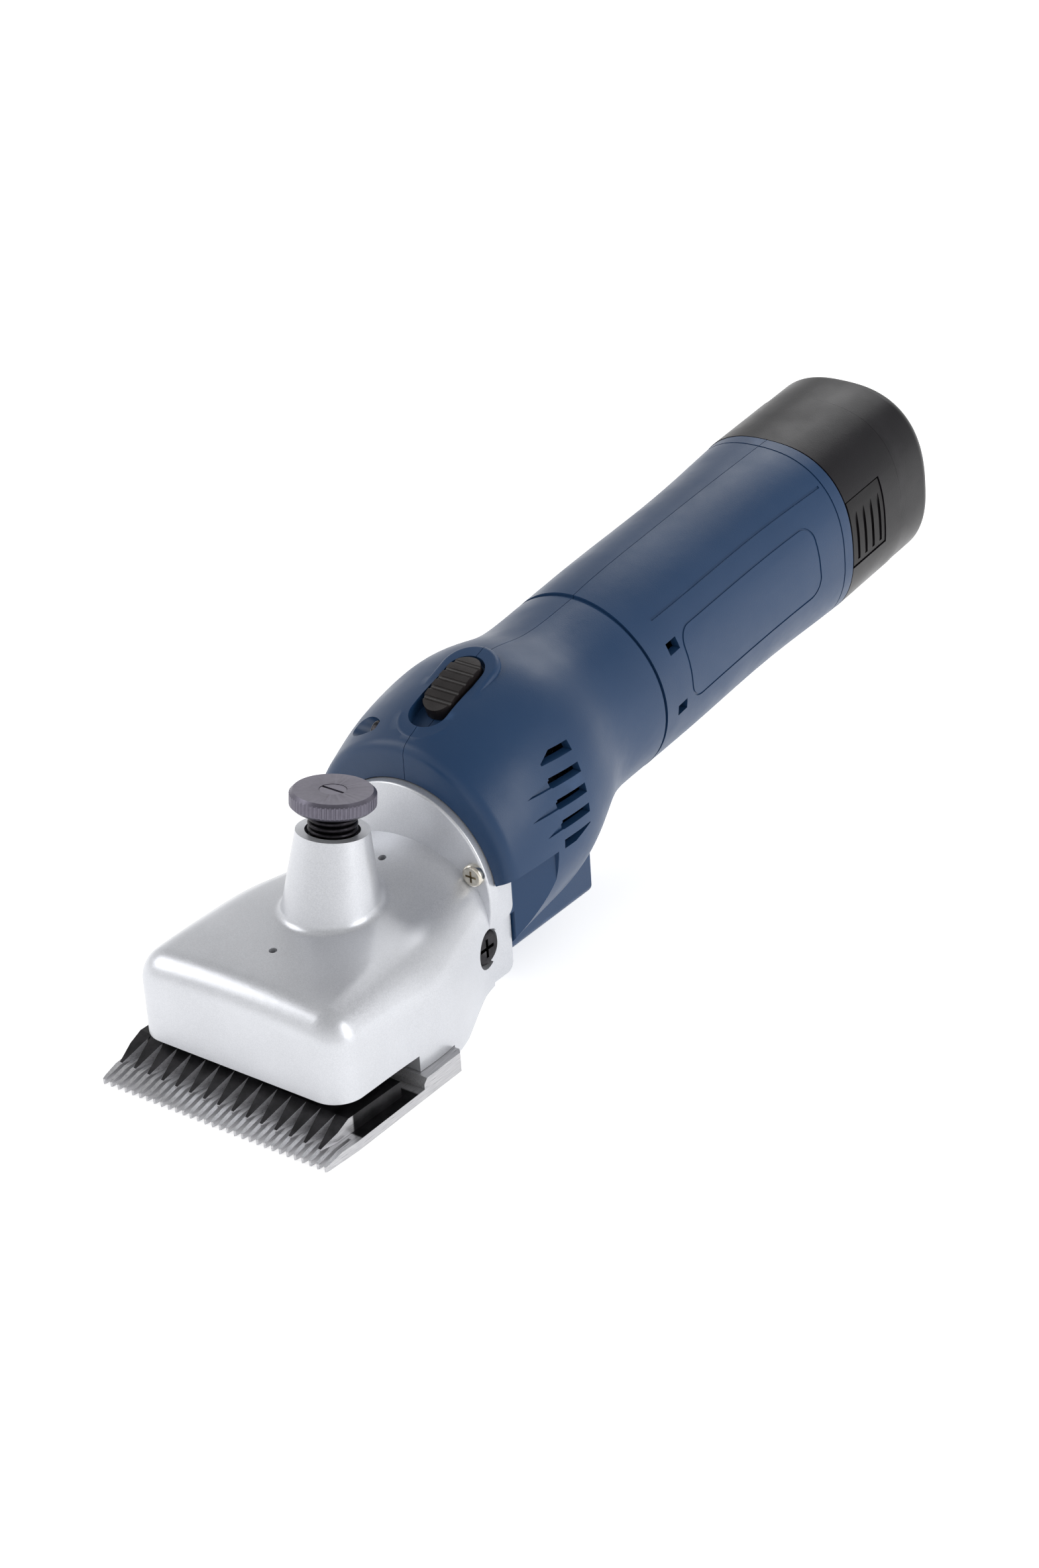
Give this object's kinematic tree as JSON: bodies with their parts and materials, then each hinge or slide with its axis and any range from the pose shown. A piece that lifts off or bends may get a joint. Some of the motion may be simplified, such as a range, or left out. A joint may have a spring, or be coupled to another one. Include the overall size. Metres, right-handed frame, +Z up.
{
  "type": "cordless livestock clipper",
  "caption": "Cordless livestock clipper: wide comb and cutter, cast head with tension knob, two-shell motor housing with slide switch, slide-in battery.",
  "frame": {"origin": "on the comb's flat underside, midway between its two fixing screws", "axes": "+X across the comb, +Y from the comb's teeth towards the battery, +Z up from the comb's underside towards the knob"},
  "size_m": [0.076, 0.305, 0.0919],
  "materials": {
    "battery_black": "fine moulded grain",
    "bearing_steel": "polished",
    "black_steel": "black oxide",
    "board_green": "solder mask",
    "board_parts": "moulded",
    "brass": "turned",
    "carbon": "pressed carbon",
    "cell_wrap": "shrink wrap",
    "comb_steel": "ground with blackened lands",
    "copper": "enamelled copper",
    "cutter_steel": "ground facets on a blackened body",
    "gear_nylon": "natural nylon",
    "head_alloy": "satin silver over a fine cast grain",
    "housing_blue": "fine moulded grain",
    "inner_black": "moulded",
    "knob_dark": "dark satin",
    "lamination": "stamped",
    "latch_black": "satin",
    "lead_black": "insulation",
    "lead_red": "insulation",
    "magnet": "sintered",
    "motor_steel": "zinc plated",
    "mount_alloy": "as cast",
    "nickel_plate": "nickel plated",
    "plain_steel": "turned",
    "switch_black": "satin"
  },
  "bodies": {
    "frame": {"comb": "comb_steel", "comb_screws": "plain_steel", "head_casting": "head_alloy", "head_side_screws": "black_steel", "flange_screws": "nickel_plate", "fork_pivot_post": "plain_steel", "gearbox_plate": "inner_black", "motor_mount": "mount_alloy", "crank_front_bearing": "bearing_steel", "crank_rear_bearing": "bearing_steel", "motor_front_bearing": "bearing_steel", "motor_rear_bearing": "brass", "motor_can": "motor_steel", "motor_magnets": "magnet", "carbon_brushes": "carbon", "motor_end_cap": "inner_black", "housing_left": "housing_blue", "housing_right": "housing_blue", "housing_screws": "black_steel", "switch_module": "inner_black", "control_board": "board_green", "board_parts": "board_parts", "contact_block": "inner_black", "contact_blades": "brass", "tension_spring": "black_steel", "motor_leads": "lead_red", "battery_leads": "lead_black"},
    "fork": {"fork_lever": "plain_steel", "drive_fingers": "plain_steel", "cutter": "cutter_steel"},
    "crank": {"crank_shaft": "plain_steel", "drive_gear": "gear_nylon"},
    "rotor": {"motor_shaft": "plain_steel", "motor_pinion": "brass", "armature_core": "lamination", "armature_windings": "copper", "commutator": "copper", "cooling_fan": "inner_black"},
    "pressure": {"pressure_pin": "plain_steel"},
    "knob": {"tension_knob": "knob_dark", "knob_screw": "knob_dark", "tension_stem": "plain_steel"},
    "switch": {"switch_slider": "switch_black"},
    "battery": {"battery_case": "battery_black", "battery_end_cap": "battery_black", "battery_cells": "cell_wrap", "battery_board": "board_green", "battery_terminals": "brass", "latch_spring_left": "plain_steel", "latch_spring_right": "plain_steel"},
    "latch_left": {"latch_button_left": "latch_black"},
    "latch_right": {"latch_button_right": "latch_black"}
  },
  "joints": [
    {"name": "fork_swing", "type": "hinge", "parent": "frame", "child": "fork", "pos_m": [0, 0.0045, 0.02], "axis": [0, 0, 1], "range_deg": [-0.8, 5.6]},
    {"name": "crank_spin", "type": "hinge", "parent": "frame", "child": "crank", "pos_m": [0, 0.046, 0.0308], "axis": [0, 1, 0], "continuous": true},
    {"name": "rotor_spin", "type": "hinge", "parent": "frame", "child": "rotor", "pos_m": [0, 0.046, 0.044], "axis": [0, 1, 0], "continuous": true},
    {"name": "tension_travel", "type": "slide", "parent": "frame", "child": "pressure", "axis": [0, 0.1461, 0.9893], "range_m": [0, 0.002], "deforming": ["tension_spring"]},
    {"name": "tension_knob_turn", "type": "hinge", "parent": "pressure", "child": "knob", "pos_m": [0, 0.01077, 0.06671], "axis": [0, 0.1461, 0.9893], "range_deg": [0, 720]},
    {"name": "power_switch", "type": "slide", "parent": "frame", "child": "switch", "axis": [0, -0.9455, -0.3256], "range_m": [0, 0.005]},
    {"name": "battery_slide", "type": "slide", "parent": "frame", "child": "battery", "axis": [0, 0.9957, 0.0924], "range_m": [0, 0.06]},
    {"name": "latch_left_press", "type": "slide", "parent": "battery", "child": "latch_left", "axis": [1, 0, 0], "range_m": [0, 0.0016], "stiffness_N_per_m": 600, "springref_m": -0.0015},
    {"name": "latch_right_press", "type": "slide", "parent": "battery", "child": "latch_right", "axis": [-1, 0, 0], "range_m": [0, 0.0016], "stiffness_N_per_m": 600, "springref_m": -0.0015}
  ],
  "couplings": [
    {"joint": "crank_spin", "follows": "rotor_spin", "ratio": -0.29412},
    {"joint": "tension_knob_turn", "follows": "tension_travel", "rad_per_m": 6276.9}
  ]
}
